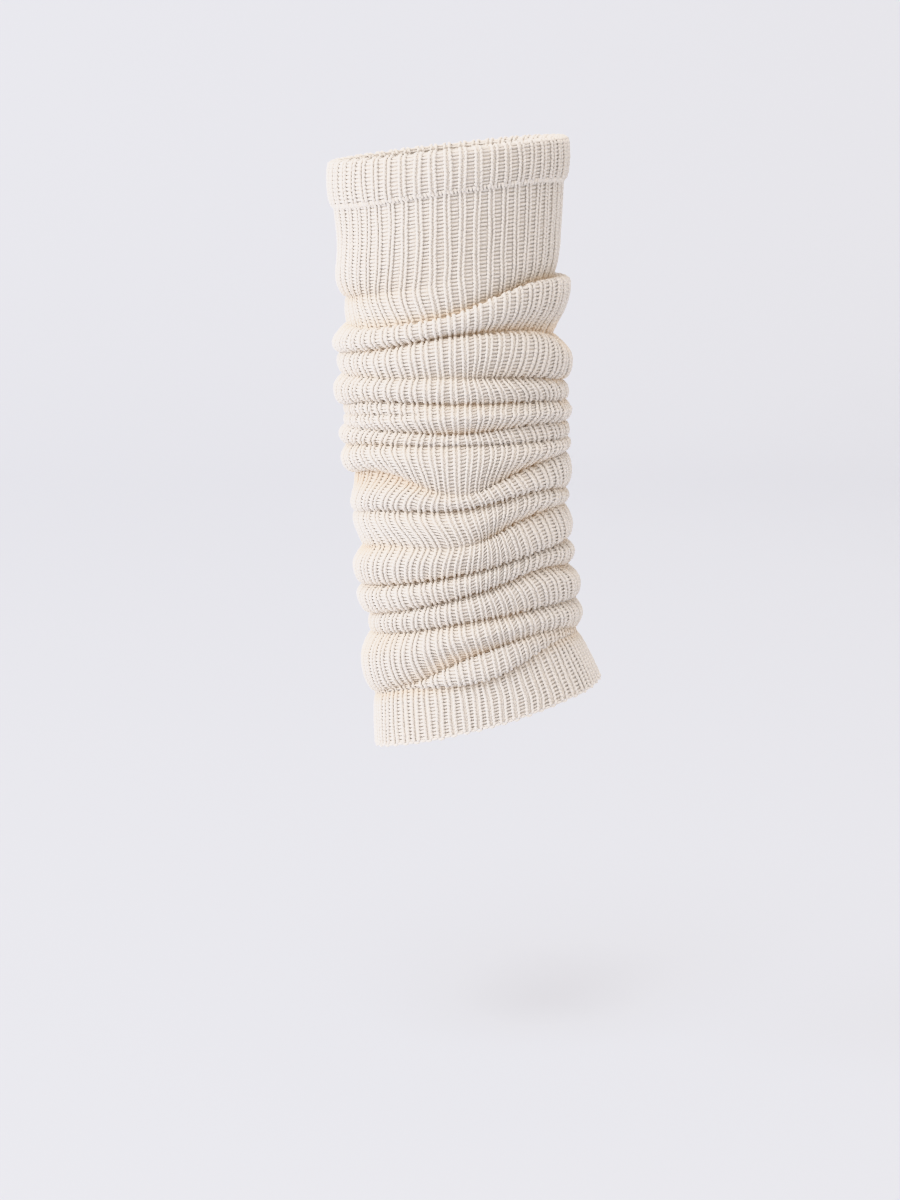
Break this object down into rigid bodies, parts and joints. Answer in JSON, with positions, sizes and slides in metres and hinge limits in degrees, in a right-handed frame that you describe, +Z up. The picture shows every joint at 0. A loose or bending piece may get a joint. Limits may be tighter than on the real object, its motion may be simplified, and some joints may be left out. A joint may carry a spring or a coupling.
{
  "type": "leg warmer",
  "caption": "Cream ribbed knit leg warmer, slouched in deep soft folds down the leg, with a turned double welt at the calf and a flat rib cuff at the ankle.",
  "frame": {"origin": "centre of the calf opening, level with the middle of the welt's top edge, where the wearer's calf holds the garment", "axes": "+Z up the leg, -X towards the shin, +X towards the calf and heel, -Y towards the side that the picture shows"},
  "size_m": [0.1229, 0.1028, 0.2731],
  "materials": {
    "cream_rib_knit": "matte",
    "cream_welt_knit": "matte",
    "cream_cuff_knit": "matte"
  },
  "bodies": {
    "root": {"top_welt": "cream_welt_knit", "leg_tube": "cream_rib_knit", "ankle_cuff": "cream_cuff_knit"}
  },
  "joints": []
}
